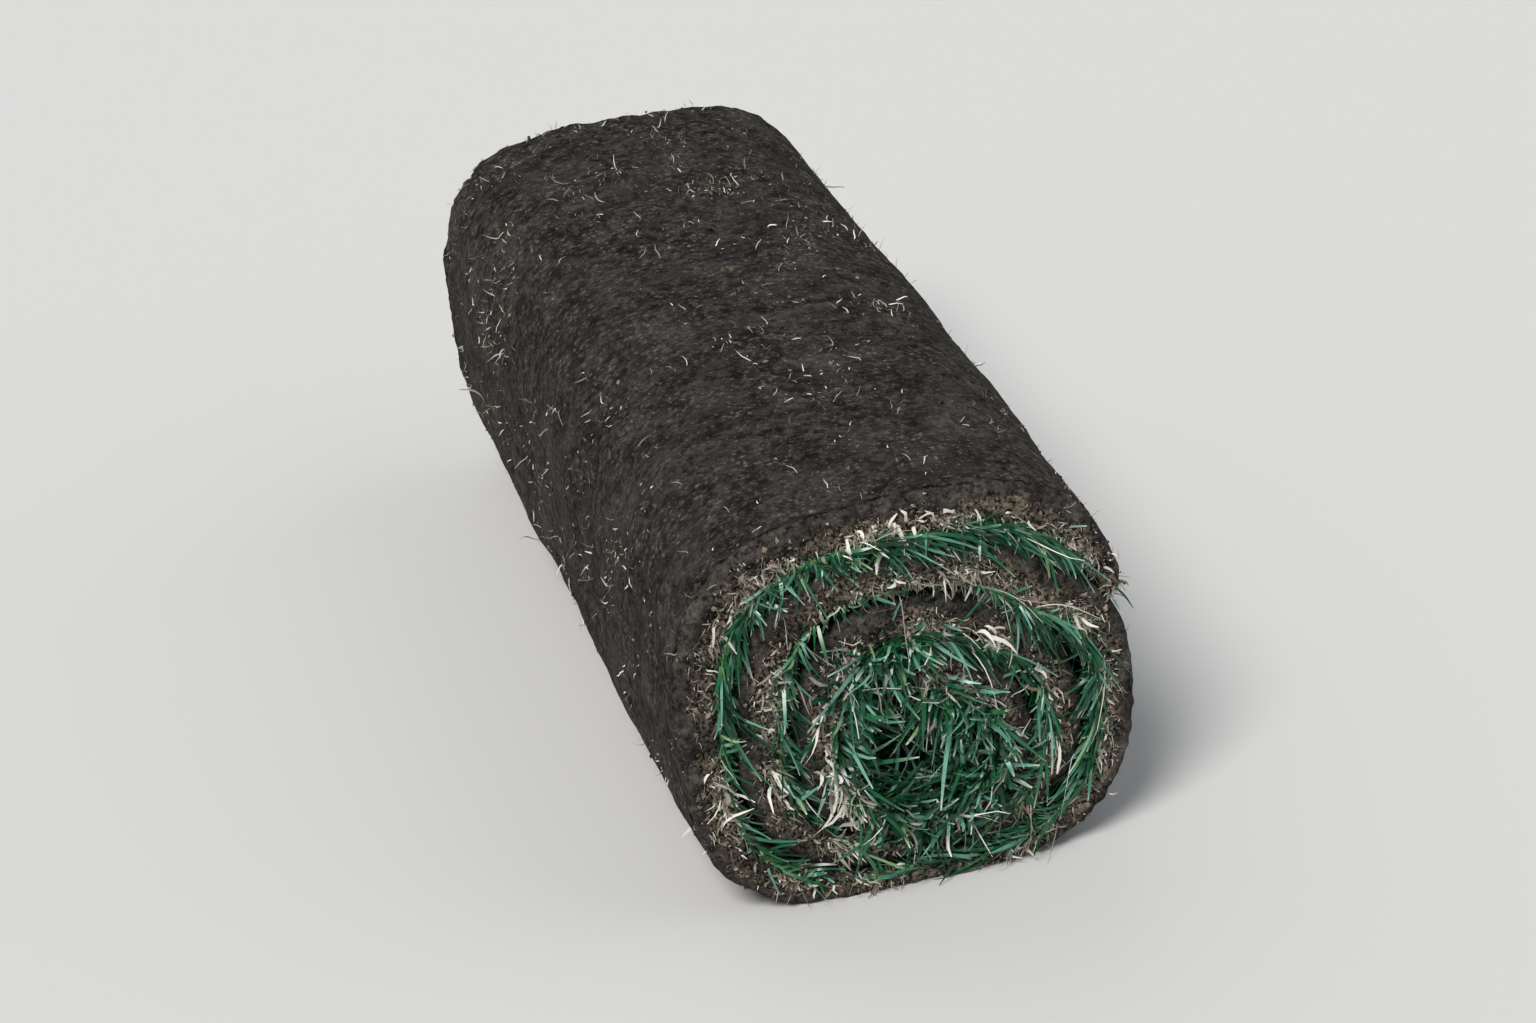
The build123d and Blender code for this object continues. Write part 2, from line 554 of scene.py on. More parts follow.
def skin_surface(name, clustered=False):
    """The outside of the roll, apart from where it lies on the floor."""
    turns = even_turns(0.0, 1.0, SKIN_SURFACE_STEP, 0.0)
    surface = Surface()
    for (x, z), normal in zip(strip_point(turns, 0.0), strip_normal(turns, 0.0)):
        for row in range(SKIN_SURFACE_ROWS):
            y = -HALF_LENGTH + 2 * HALF_LENGTH * row / (SKIN_SURFACE_ROWS - 1)
            lift = relief(x, y, z, SKIN_LAYERS) - SKIN_SINK
            point = (x + normal[0] * lift, y, max(z + normal[1] * lift, 0.0))
            cluster = max(0.0, lumps(x, y, z, 0.028, 41.0) + 0.12) ** 2 * 4 if clustered else 0.3
            patch = max(0.02, 0.5 + lumps(x, y, z, 0.09, 31.0) * 1.2)
            surface.add(point, (-normal[1], 0.0, normal[0]), (0.0, 1.0, 0.0), upright_vector(normal),
                        cluster * patch if z > 4 * MM else 0.0)
    return surface.build(name, len(turns))


# Node trees

class Tree:
    """Short ways to add nodes to a geometry or shader tree."""

    def __init__(self, tree):
        self.tree = tree
        self.place = 0
        self.seed = None

    def node(self, kind, inputs=None, **settings):
        made = self.tree.nodes.new(kind)
        made.location = (self.place % 12 * 190, -(self.place // 12) * 260)
        self.place += 1
        for key, value in settings.items():
            setattr(made, key, value)
        for key, value in (inputs or {}).items():
            self.feed(made.inputs[key], value)
        return made

    def feed(self, socket, value):
        if isinstance(value, bpy.types.NodeSocket):
            self.tree.links.new(value, socket)
        elif value is not None:
            socket.default_value = value

    def math(self, operation, first, second=None):
        return self.node("ShaderNodeMath", {0: first, 1: second}, operation=operation).outputs[0]

    def plus(self, first, second):
        return self.math("ADD", first, second)

    def minus(self, first, second):
        return self.math("SUBTRACT", first, second)

    def rest(self, share):
        """What is left of 1."""
        return self.minus(1.0, share)

    def times(self, first, *others):
        for other in others:
            first = self.math("MULTIPLY", first, other)
        return first

    def vector(self, operation, first, second=None, output=0):
        return self.node("ShaderNodeVectorMath", {0: first, 1: second}, operation=operation).outputs[output]

    def scaled(self, first, factor):
        return self.node("ShaderNodeVectorMath", {0: first, "Scale": factor}, operation="SCALE").outputs[0]

    def total(self, first, *others):
        for other in others:
            first = self.vector("ADD", first, other)
        return first

    def parts(self, vector):
        return self.node("ShaderNodeSeparateXYZ", {0: vector}).outputs

    def joined(self, *parts):
        return self.node("ShaderNodeCombineXYZ", dict(enumerate(parts))).outputs[0]

    def position(self):
        return self.node("GeometryNodeInputPosition").outputs[0]

    def named(self, name, data_type="FLOAT"):
        node = self.node("GeometryNodeInputNamedAttribute", {"Name": name}, data_type=data_type)
        return node.outputs["Attribute"]

    def direction(self, name):
        return self.named(name, "FLOAT_VECTOR")

    def store(self, geometry, values, data_type="FLOAT"):
        """Stores one value after another, so that the later ones can read the earlier ones."""
        for name, value in values.items():
            inputs = {"Geometry": geometry, "Name": name, "Value": value}
            node = self.node("GeometryNodeStoreNamedAttribute", inputs, data_type=data_type, domain="POINT")
            geometry = node.outputs["Geometry"]
        return geometry

    def chance(self, low, high, offset):
        """A random number for each point. Another offset of the seed gives other numbers."""
        inputs = {2: low, 3: high, "Seed": self.plus(self.seed, float(offset))}
        return self.node("FunctionNodeRandomValue", inputs, data_type="FLOAT").outputs[1]

    def chance_vector(self, low, high, offset):
        inputs = {0: low, 1: high, "Seed": self.plus(self.seed, float(offset))}
        return self.node("FunctionNodeRandomValue", inputs, data_type="FLOAT_VECTOR").outputs[0]


def node_group(name, kind, inputs, outputs, build):
    """The node group with that name, built when it is first asked for."""
    found = bpy.data.node_groups.get(name)
    if found:
        return found
    group = bpy.data.node_groups.new(name, kind)
    for label, socket_type, default in inputs:
        socket = group.interface.new_socket(name=label, in_out="INPUT", socket_type=socket_type)
        if default is not None:
            socket.default_value = default
    for label, socket_type in outputs:
        group.interface.new_socket(name=label, in_out="OUTPUT", socket_type=socket_type)
    tree = Tree(group)
    tree.node("NodeGroupOutput", build(tree, tree.node("NodeGroupInput").outputs))
    return group


# Geometry trees

GEOMETRY_OUT = (("Geometry", "NodeSocketGeometry"),)

STRAND_INPUTS = (
    ("Geometry", "NodeSocketGeometry", None),
    ("Density", "NodeSocketFloat", 100000.0),
    ("Seed", "NodeSocketInt", 1),
    ("Length", "NodeSocketFloat", 0.03),
    ("Shortest", "NodeSocketFloat", 0.4),
    ("Width", "NodeSocketFloat", 0.002),
    ("Along", "NodeSocketFloat", 0.5),
    ("Inward", "NodeSocketFloat", 0.3),
    ("Outward", "NodeSocketFloat", 0.4),
    ("Scatter", "NodeSocketFloat", 0.3),
    ("Settle", "NodeSocketFloat", 0.3),
    ("Droop", "NodeSocketFloat", 0.3),
    ("Curl", "NodeSocketFloat", 0.2),
    ("Wave", "NodeSocketFloat", 0.0),
    ("Segments", "NodeSocketInt", 6),
    ("Material", "NodeSocketMaterial", None),
)

CRUMB_INPUTS = (
    ("Geometry", "NodeSocketGeometry", None),
    ("Density", "NodeSocketFloat", 40000.0),
    ("Seed", "NodeSocketInt", 1),
    ("Size", "NodeSocketFloat", 0.0012),
    ("Material", "NodeSocketMaterial", None),
)

# How far a strand may stand proud of the solid on any side, and the least height of strands and crumbs
STRAND_ROOM = 13 * MM
STRAND_FLOOR = 0.6 * MM
CRUMB_FLOOR = 0.2 * MM

# How much a long strand bends inwards to follow the turn that it lies on, per metre of its length
CURVE_HUG = 8.0

# The longest a strand gets, as a share of the length asked for
LONGEST_PACE = 1.25

# The waves along a strand, how blunt its tip is and how much narrower, and the width at its foot
WAVE_RATE = 5.5
TIP_BLUNTNESS = 5.0
TIP_NARROWING = 0.66
FOOT_WIDTH = 0.55

# What the trees store on a surface and the materials don't read
SPARE_VALUES = ("combed", "along", "inward", "outward", "weight", "start", "bend", "root", "wide", "tilt",
                "long", "across")


def spread_points(tree, given):
    """Points spread over the surface by its own weight. Random values take the seed from here on."""
    tree.seed = given["Seed"]
    inputs = {"Mesh": given["Geometry"], "Density": tree.times(given["Density"], tree.named("weight")),
              "Seed": given["Seed"]}
    spots = tree.node("GeometryNodeDistributePointsOnFaces", inputs, distribute_method="RANDOM")
    return spots.outputs["Points"]


def copies(tree, points, shape, **turned):
    """A copy of the shape on each point, as plain geometry."""
    placed = tree.node("GeometryNodeInstanceOnPoints", {"Points": points, "Instance": shape, **turned})
    return tree.node("GeometryNodeRealizeInstances", {"Geometry": placed.outputs[0]}).outputs[0]


def moved(tree, geometry, place):
    return tree.node("GeometryNodeSetPosition", {"Geometry": geometry, "Position": place}).outputs[0]


def painted(tree, geometry, given):
    inputs = {"Geometry": geometry, "Material": given["Material"]}
    return {"Geometry": tree.node("GeometryNodeSetMaterial", inputs).outputs[0]}


def strand_start(tree, given):
    """The way a strand sets out, as a share of its length."""
    start = tree.total(
        tree.scaled(tree.direction("along"), tree.times(given["Along"], tree.chance(-0.25, 1.6, 50))),
        tree.scaled(tree.direction("inward"), tree.times(given["Inward"], tree.chance(-0.35, 1.5, 60))),
        tree.scaled(tree.direction("outward"), tree.times(given["Outward"], tree.chance(0.4, 1.4, 70))),
        tree.scaled(tree.chance_vector((-1, -1, -1), (1, 1, 1), 80), given["Scatter"]))
    pace = tree.vector("LENGTH", start, output="Value")
    return tree.scaled(start, tree.math("MINIMUM", 1.0, tree.math("DIVIDE", LONGEST_PACE, pace)))


def strand_bend(tree, given):
    """The way a strand bends: down, round the turn that it lies on, back to the surface and at random."""
    start = tree.direction("start")
    speed = tree.vector("DOT_PRODUCT", start, start, output="Value")
    hug = tree.times(speed, tree.named("long"), CURVE_HUG)
    round_turn = tree.times(given["Along"], tree.plus(tree.named("combed"), hug))
    return tree.total(
        tree.joined(None, None, tree.times(given["Droop"], tree.chance(-1.6, -0.2, 90))),
        tree.scaled(tree.direction("inward"), round_turn),
        tree.scaled(tree.direction("outward"), tree.times(given["Settle"], tree.chance(-1.3, -0.6, 100))),
        tree.scaled(tree.chance_vector((-1, -1, -1), (1, 1, 1), 110), given["Curl"]))


def strand_place(tree, given):
    """Where each point of a strand comes to lie, from how far along and across the strand it is."""
    reach, tilt = tree.named("reach"), tree.named("tilt")
    start, bend = tree.direction("start"), tree.direction("bend")
    first = tree.vector("NORMALIZE", start)
    flat = tree.vector("NORMALIZE", tree.vector("CROSS_PRODUCT", first, bend))
    upright = tree.vector("CROSS_PRODUCT", first, flat)
    twist = tree.times(tilt, tree.plus(reach, 0.35))
    face = tree.total(
        tree.scaled(flat, tree.math("COSINE", twist)), tree.scaled(upright, tree.math("SINE", twist)))
    taper = tree.rest(tree.times(tree.math("POWER", reach, TIP_BLUNTNESS), TIP_NARROWING))
    foot = tree.math("MINIMUM", 1.0, tree.plus(FOOT_WIDTH, tree.times(reach, 2.5)))
    sideways = tree.scaled(face, tree.times(taper, foot, tree.named("wide"), tree.named("across")))
    phase = tree.times(tilt, 2.0)
    ripple = tree.plus(tree.times(reach, WAVE_RATE), phase)
    path = tree.total(tree.scaled(start, reach), tree.scaled(bend, tree.times(reach, reach)))
    for way, wave in ((flat, "SINE"), (upright, "COSINE")):
        swing = tree.minus(tree.math(wave, ripple), tree.math(wave, phase))
        path = tree.total(path, tree.scaled(way, tree.times(swing, given["Wave"])))
    return tree.total(tree.direction("root"), tree.scaled(path, tree.named("long")), sideways)


def kept_close(tree, place):
    """The same place, but not past the room round the solid nor below the floor."""
    side, end = HALF_WIDTH + STRAND_ROOM, HALF_LENGTH + STRAND_ROOM
    limits = ((-side, side), (-end, end), (STRAND_FLOOR, CAD_HIGH.z + STRAND_ROOM))
    held = []
    for part, (low, high) in zip(tree.parts(place), limits):
        held.append(tree.math("MAXIMUM", tree.math("MINIMUM", part, high), low))
    return tree.joined(*held)


def strand_tree():
    """Scatters strands over a surface. Each sets out along the surface's own directions and then bends."""
    def build(tree, given):
        points = spread_points(tree, given)
        long = tree.times(given["Length"], tree.chance(0, 1, 10))
        points = tree.store(points, {
            "long": tree.math("MAXIMUM", long, tree.times(given["Length"], given["Shortest"])),
            "tone": tree.chance(0, 1, 20),
            "tilt": tree.chance(-1.6, 1.6, 30),
            "wide": tree.times(given["Width"], tree.chance(0.65, 1.15, 40)),
        })
        points = tree.store(points, {
            "root": tree.position(),
            "start": strand_start(tree, given),
            "bend": strand_bend(tree, given),
        }, "FLOAT_VECTOR")
        grid = tree.node("GeometryNodeMeshGrid", {
            "Size X": 1.0, "Size Y": 1.0, "Vertices X": 2, "Vertices Y": tree.plus(given["Segments"], 1.0)})
        across, reach, _ = tree.parts(tree.position())
        strand = tree.store(grid.outputs["Mesh"], {"reach": tree.plus(reach, 0.5), "across": across})
        strands = copies(tree, points, strand)
        strands = moved(tree, strands, kept_close(tree, strand_place(tree, given)))
        smooth = tree.node("GeometryNodeSetShadeSmooth", {"Geometry": strands})
        return painted(tree, smooth.outputs[0], given)
    return node_group("turf_strands", "GeometryNodeTree", STRAND_INPUTS, GEOMETRY_OUT, build)


def crumb_tree():
    """Scatters small lumps of soil over a surface. Most are small, and a few are up to twice the size."""
    def build(tree, given):
        points = spread_points(tree, given)
        turned = tree.chance_vector((0, 0, 0), (6.28, 6.28, 6.28), 0)
        squashed = tree.chance_vector((0.35, 0.35, 0.3), (1.3, 1.1, 0.8), 3)
        larger = tree.plus(0.45, tree.times(tree.math("POWER", tree.chance(0, 1, 5), 4.0), 1.6))
        points = tree.store(points, {"tone": tree.chance(0, 1, 7)})
        lump = tree.node("GeometryNodeMeshUVSphere", {"Segments": 5, "Rings": 2, "Radius": given["Size"]})
        crumbs = copies(tree, points, lump.outputs[0], Rotation=turned, Scale=tree.scaled(squashed, larger))
        x, y, z = tree.parts(tree.position())
        crumbs = moved(tree, crumbs, tree.joined(x, y, tree.math("MAXIMUM", z, CRUMB_FLOOR)))
        return painted(tree, crumbs, given)
    return node_group("turf_crumbs", "GeometryNodeTree", CRUMB_INPUTS, GEOMETRY_OUT, build)


def grow(surface, group, slot_name, **values):
    """Runs a tree on a surface with these inputs, and leaves a plain mesh in the surface's place."""
    modifier = surface.modifiers.new("grow", "NODES")
    modifier.node_group = group
    wanted = dict(values)
    for item in group.interface.items_tree:
        if item.in_out == "INPUT" and item.name in wanted:
            modifier[item.identifier] = wanted.pop(item.name)
    if wanted:
        raise ValueError(f"{group.name} has no input {sorted(wanted)}")
    surface.update_tag()
    graph = bpy.context.evaluated_depsgraph_get()
    graph.update()
    made = bpy.data.meshes.new_from_object(
        surface.evaluated_get(graph), preserve_all_data_layers=True, depsgraph=graph)
    surface.modifiers.clear()
    surface.data = made
    made.name = surface.name
    for spare in SPARE_VALUES:
        layer = made.attributes.get(spare)
        if layer:
            made.attributes.remove(layer)
    return finish_piece(surface)


# Looks

def attribute(tree, name):
    node = tree.node("ShaderNodeAttribute", attribute_type="GEOMETRY", attribute_name=name)
    return node.outputs["Fac"]


def object_place(tree):
    return tree.node("ShaderNodeTexCoord").outputs["Object"]


def cloud(tree, size, detail=4.0, rough=0.55, offset=0.0):
    """Noise with lumps of about that size. Another offset gives other lumps."""
    place = tree.vector("ADD", object_place(tree), (offset, offset * 0.7, -offset))
    inputs = {"Vector": place, "Scale": 1 / size, "Detail": detail, "Roughness": rough}
    return tree.node("ShaderNodeTexNoise", inputs).outputs["Fac"]


def between(tree, value, low, high):
    """0 up to the low value, 1 from the high value, and evenly from one to the other between them."""
    inputs = {"Value": value, "From Min": low, "From Max": high}
    return tree.node("ShaderNodeMapRange", inputs, clamp=True).outputs["Result"]


def grains(tree, size):
    """How much of a rounded grain a place lies in, and a value that each grain has for itself."""
    warp = tree.node("ShaderNodeTexNoise", {"Vector": object_place(tree), "Scale": 1 / size, "Detail": 2.0})
    shift = tree.vector("MULTIPLY", warp.outputs["Color"], (size, size, size))
    node = tree.node("ShaderNodeTexVoronoi", {
        "Vector": tree.vector("ADD", object_place(tree), shift), "Scale": 1 / size})
    return tree.rest(between(tree, node.outputs["Distance"], 0.20, 0.75)), node.outputs["Color"]


def mixed(tree, share, first, second):
    return tree.node("ShaderNodeMix", {0: share, 6: first, 7: second}, data_type="RGBA").outputs[2]


def layered(tree, value, lowest, layers):
    """The lowest colour, which turns into the next ones as the value rises through their ranges."""
    colour = tinted(lowest)
    for low, high, name in layers:
        colour = mixed(tree, between(tree, value, low, high), colour, tinted(name))
    return colour


def bump(tree, height, distance):
    return tree.node("ShaderNodeBump", {"Height": height, "Distance": distance}).outputs[0]


def group_node(tree, group, **values):
    return tree.node("ShaderNodeGroup", values, node_tree=group).outputs


GROUND_INPUTS = tuple((label, "NodeSocketColor", None) for label in ("Dark", "Soil", "Dry"))
GROUND_OUT = (("Colour", "NodeSocketColor"), ("Height", "NodeSocketFloat"))

BLADE_INPUTS = (
    *((label, "NodeSocketColor", None) for label in ("Dark", "Middle", "Cool", "Pale", "Tip")),
    ("Coolness", "NodeSocketFloat", 0.0),
)


def soil_group():
    """Moist soil with crumbs, dry smears and fine pale root flecks."""
    def build(tree, given):
        patch = between(tree, cloud(tree, 0.030), 0.38, 0.64)
        grain = between(tree, cloud(tree, 0.0038, 5.0, 0.65, 0.3), 0.34, 0.66)
        fleck = between(tree, cloud(tree, 0.0016, 2.0, 0.5, 0.9), 0.62, 0.72)
        colour = mixed(tree, grain, given["Dark"], given["Soil"])
        colour = mixed(tree, tree.times(grain, 0.55, patch), colour, given["Dry"])
        colour = mixed(tree, tree.times(fleck, 0.5), colour, given["Dry"])
        coarse = cloud(tree, 0.0045, 5.0, 0.62, 0.3)
        fine = cloud(tree, 0.0012, 3.0, 0.6, 0.9)
        return {"Colour": colour, "Height": tree.plus(coarse, tree.times(fine, 0.4))}
    return node_group("turf_soil_look", "ShaderNodeTree", GROUND_INPUTS, GROUND_OUT, build)


def thatch_group():
    """Matted dead stems, in short streaks of brown and straw."""
    def build(tree, given):
        patch = between(tree, cloud(tree, 0.022, 3.0, 0.5, 1.7), 0.35, 0.70)
        streak = between(tree, cloud(tree, 0.0022, 4.0, 0.7, 2.3), 0.42, 0.60)
        colour = mixed(tree, streak, given["Dark"], given["Soil"])
        colour = mixed(tree, tree.times(streak, patch), colour, given["Dry"])
        return {"Colour": colour, "Height": cloud(tree, 0.0022, 5.0, 0.7, 2.3)}
    return node_group("turf_thatch_look", "ShaderNodeTree", GROUND_INPUTS, GROUND_OUT, build)


def blade_group():
    """Blades of mixed greens, partly painted shade and painted sky sheen. Each is paler at its foot and at
    its mown tip, and a few are pale all along.
    """
    def build(tree, given):
        tone = attribute(tree, "tone")
        reach = attribute(tree, "reach")
        sheen_tone = tree.plus(tone, given["Coolness"])
        # Painted shade in part: the darkest blades, of random tone, also stand for shade between the blades.
        colour = mixed(tree, between(tree, tone, 0.05, 0.55), given["Dark"], given["Middle"])
        # Painted sky sheen: the bluish blades stand for a highlight.
        colour = mixed(tree, between(tree, sheen_tone, 0.72, 1.0), colour, given["Cool"])
        colour = mixed(tree, tree.times(between(tree, tone, 0.955, 0.975), 0.8), colour, given["Pale"])
        foot = tree.rest(between(tree, reach, 0.02, 0.34))
        colour = mixed(tree, tree.times(foot, 0.50), colour, given["Pale"])
        cut_tip = tree.times(between(tree, reach, 0.86, 0.98), between(tree, tone, 0.35, 1.0))
        return {"Colour": mixed(tree, tree.times(cut_tip, 0.60), colour, given["Tip"])}
    return node_group("turf_blade_look", "ShaderNodeTree", BLADE_INPUTS, GROUND_OUT[:1], build)


# Materials

def new_material(name, roughness, specular, fill):
    """The material with that name, built when it is first asked for."""
    found = bpy.data.materials.get(name)
    if found:
        return found
    material = bpy.data.materials.new(name)
    material.use_nodes = True
    tree = Tree(material.node_tree)
    surface = material.node_tree.nodes["Principled BSDF"]
    values = {"Roughness": roughness, "Specular IOR Level": specular, **fill(tree)}
    for label, value in values.items():
        tree.feed(surface.inputs[label], value)
    return material


def thatch_colour(tree, pale):
    """Matted stems on humus, with this colour for the palest."""
    colours = {"Dark": tinted("soil_dark_and_shade"), "Soil": tinted("humus"), "Dry": tinted(pale)}
    return group_node(tree, thatch_group(), **colours)["Colour"]


def cut_colour(tree, soil, inside, grassy):
    """The colour of the cut edges: soil, then brown roots, and thatch where the grass grows from."""
    colour = mixed(tree, between(tree, inside, 0.26, 0.46), soil["Colour"], thatch_colour(tree, "soil_warm"))
    return mixed(tree, grassy, colour, thatch_colour(tree, "thatch"))


def skin_look(tree, soil):
    """The outside's colour and height: smeared soil, which is pitted in places and loose in others. Its pits
    and the gaps between loose lumps get painted shade.
    """
    dark = tinted("soil_dark_and_shade")
    level = between(tree, cloud(tree, 0.0085, 5.0, 0.66, 6.0), 0.36, 0.50)
    rough = between(tree, cloud(tree, 0.040, 3.0, 0.55, 11.0), 0.34, 0.54)
    smooth = tree.rest(tree.times(tree.rest(level), rough))
    half_dark = [0.5 * (first + second) for first, second in zip(dark, tinted("soil"))]
    patch = between(tree, cloud(tree, 0.045, 3.0, 0.5, 8.0), 0.3, 0.7)
    smear = mixed(tree, patch, tinted("soil"), half_dark)
    # Painted shade: the pits, where the height is lowest, turn nearly to the darkest soil.
    colour = mixed(tree, tree.plus(0.12, tree.times(smooth, 0.88)), dark, smear)
    colour = mixed(tree, tree.times(smooth, 0.50), colour, soil["Colour"])
    lump, lump_tone = grains(tree, 0.0050)
    crumb, crumb_tone = grains(tree, 0.0026)
    loose = between(tree, cloud(tree, 0.030, 4.0, 0.60, 31.0), 0.40, 0.62)
    # Painted shade in the gaps between the loose lumps, which the height raises.
    colour = mixed(tree, tree.times(loose, 0.42, tree.rest(lump)), colour, dark)
    pale_lump = tree.times(between(tree, lump_tone, 0.52, 0.80), lump)
    colour = mixed(tree, tree.times(loose, 0.30, pale_lump), colour, tinted("soil_dry"))
    pale_crumb = tree.times(between(tree, crumb_tone, 0.66, 0.84), crumb)
    colour = mixed(tree, tree.times(loose, 0.55, pale_crumb), colour, tinted("soil_warm"))
    speck = between(tree, cloud(tree, 0.0024, 3.0, 0.6, 21.0), 0.60, 0.70)
    colour = mixed(tree, tree.times(speck, 0.75), colour, tinted("soil_dry"))
    pitted = tree.plus(tree.times(smooth, 1.7), tree.times(soil["Height"], tree.plus(0.9, rough)))
    grainy = tree.plus(tree.times(lump, 0.9), tree.times(crumb, 0.5))
    return colour, tree.plus(pitted, tree.times(loose, grainy))


def mat_material():
    """Soil on the outer half of the strip and thatch on the half that the grass grows from."""
    def fill(tree):
        soil = group_node(
            tree, soil_group(), Dark=tinted("soil_dark_and_shade"), Soil=tinted("soil"), Dry=tinted("soil_dry"))
        wander = tree.times(tree.minus(cloud(tree, 0.012, 3.0, 0.5, 4.0), 0.5), 0.9)
        inside = tree.plus(attribute(tree, "depth"), wander)
        grassy = between(tree, inside, 0.60, 0.86)
        cut = cut_colour(tree, soil, inside, grassy)
        skin, skin_height = skin_look(tree, soil)
        end = attribute(tree, "end")
        height = tree.plus(tree.times(tree.rest(end), skin_height), tree.times(soil["Height"], 1.4, end))
        return {"Base Color": mixed(tree, end, mixed(tree, grassy, skin, cut), cut),
                "Normal": bump(tree, height, 2.0 * MM)}
    return new_material("turf_mat", 0.9, 0.08, fill)


def crumb_material():
    """Crumbs from dark to brown, and a few dry ones."""
    def fill(tree):
        browns = (
            (0.0, 0.45, "soil"), (0.45, 0.70, "humus"), (0.74, 0.94, "soil_warm"), (0.95, 0.98, "thatch"))
        return {"Base Color": layered(tree, attribute(tree, "tone"), "soil_dark_and_shade", browns),
                "Normal": bump(tree, cloud(tree, 0.0011, 3.0, 0.6), 0.8 * MM)}
    return new_material("turf_crumbs", 0.95, 0.08, fill)


def fibre_material(name="turf_fibre", paler=0.0):
    """Dead stems and roots, from brown to straw."""
    def fill(tree):
        tone = tree.plus(attribute(tree, "tone"), paler)
        return {"Base Color": layered(tree, tone, "humus", ((0.05, 0.60, "thatch"), (0.66, 1.02, "straw")))}
    return new_material(name, 0.7, 0.3, fill)


def root_material():
    return fibre_material("turf_root", 0.25)


def stem_material():
    return fibre_material("turf_stem", 0.45)


def blade_material(name="turf_blade", sheen_share=0.0):
    """Grass. The larger the sheen share, the more of its blades get a bluish painted sky sheen."""
    def fill(tree):
        blade = group_node(
            tree, blade_group(), Dark=tinted("blade_dark_and_shade"), Middle=tinted("blade"), Cool=tinted("blade_sky_sheen"),
            Pale=tinted("blade_pale"), Tip=tinted("straw"), Coolness=sheen_share)
        return {"Base Color": blade["Colour"]}
    return new_material(name, 0.28, 0.50, fill)


# Strands

STRAND_VALUES = ("Density", "Length", "Shortest", "Width", "Along", "Inward", "Outward", "Scatter", "Settle",
                 "Droop", "Curl", "Wave", "Segments")

# Each kind of strand, by those values. Its length is a share of the longest of its sort, and its width a
# share of a blade's, or a width of its own for what isn't grass
STRANDS = {
    "thatch": (1800000.0, 0.44, 0.35, 0.0014, 0.35, 0.40, 0.45, 0.80, 0.55, 0.35, 1.0, 0.12, 3),
    "flecks": (600000.0, 0.32, 0.3, 0.0007, 0.2, 0.1, 0.25, 0.8, 0.3, 0.3, 0.6, 0.04, 2),
    "curls": (260000.0, 0.80, 0.45, 0.0021, 0.3, 0.10, 0.90, 0.75, 0.60, 0.50, 1.3, 0.17, 6),
    "stems": (30000.0, 1.0, 0.4, 0.0008, 0.6, 0.35, 0.35, 0.6, 0.25, 0.4, 0.6, 0.05, 8),
    "core_stems": (95000.0, 0.5, 0.35, 0.0012, 0.20, 0.55, 0.60, 0.95, 0.30, 0.25, 1.2, 0.16, 5),
    "seam_thatch": (2600000.0, 1.0, 0.30, 0.0010, 0.65, 0.1, 0.20, 0.70, 0.15, 0.35, 0.8, 0.1, 3),
    "skin_roots": (66000.0, 0.42, 0.3, 0.0007, 0.2, 0.1, 0.22, 0.85, 0.2, 0.1, 0.9, 0.10, 3),
    "skin_stems": (420.0, 1.3, 0.3, 0.0012, 0.2, 0.1, 0.10, 0.80, 0.12, 0.1, 0.7, 0.10, 7),
    "gap_grass": (860000.0, 0.68, 0.38, 0.88, 1.10, 0.27, 0.28, 0.26, 0.30, 0.12, 0.34, 0.0, 6),
    "core_grass": (840000.0, 0.66, 0.42, 1.15, 0.20, 0.62, 0.50, 0.95, 0.15, 0.20, 0.40, 0.0, 5),
    "seam_grass": (800000.0, 0.46, 0.3, 1.0, 0.70, 0.10, 0.14, 0.60, 0.15, 0.3, 0.5, 0.0, 5),
}

# The two ends of the roll
SIDES = (("front", -1), ("back", 1))

# The turns at the inner end that belong to the core, and how far short of the inner end its strands stop
CORE_TURNS = 1.02
INNER_MARGIN = 0.01


def grow_fibres(surface, kind, seed, look, long=None):
    values = dict(zip(STRAND_VALUES, STRANDS[kind]))
    values["Length"] *= long or sizes().fibre_long
    grow(surface, strand_tree(), "thatch", Seed=seed, Material=look, **values)


def grow_grass(surface, kind, seed, look):
    values = dict(zip(STRAND_VALUES, STRANDS[kind]))
    values["Length"] *= sizes().blade_long
    values["Width"] *= sizes().blade_wide
    grow(surface, strand_tree(), "grass", Seed=seed, Material=look, **values)


# Operators

class TURF_OT_mat(bpy.types.Operator):
    """Build the wound strip of soil and thatch"""
    bl_idname = "turf.mat"
    bl_label = "Strip"

    def execute(self, context):
        builder = MatBuilder()
        piece = new_object("turf_mat", builder.points, builder.faces)
        add_values(piece.data, "depth", builder.depths)
        add_values(piece.data, "end", builder.ends)
        set_outward(piece.data)
        piece.data.materials.append(mat_material())
        finish_piece(piece)
        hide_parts(NODE)
        return {"FINISHED"}


class TURF_OT_crumbs(bpy.types.Operator):
    """Scatter crumbs of soil over the cut edges and the outside"""
    bl_idname = "turf.crumbs"
    bl_label = "Crumbs"

    def execute(self, context):
        look = crumb_material()
        for name, side in SIDES:
            surface = edge_surface(name + "_crumbs", side, (0.20, 0.86))
            grow(surface, crumb_tree(), "soil", Density=880000.0, Seed=40 + side, Size=1.25 * MM,
                 Material=look)
        surface = skin_surface("skin_crumbs")
        grow(surface, crumb_tree(), "soil", Density=36000.0, Seed=47, Size=1.2 * MM, Material=look)
        return {"FINISHED"}


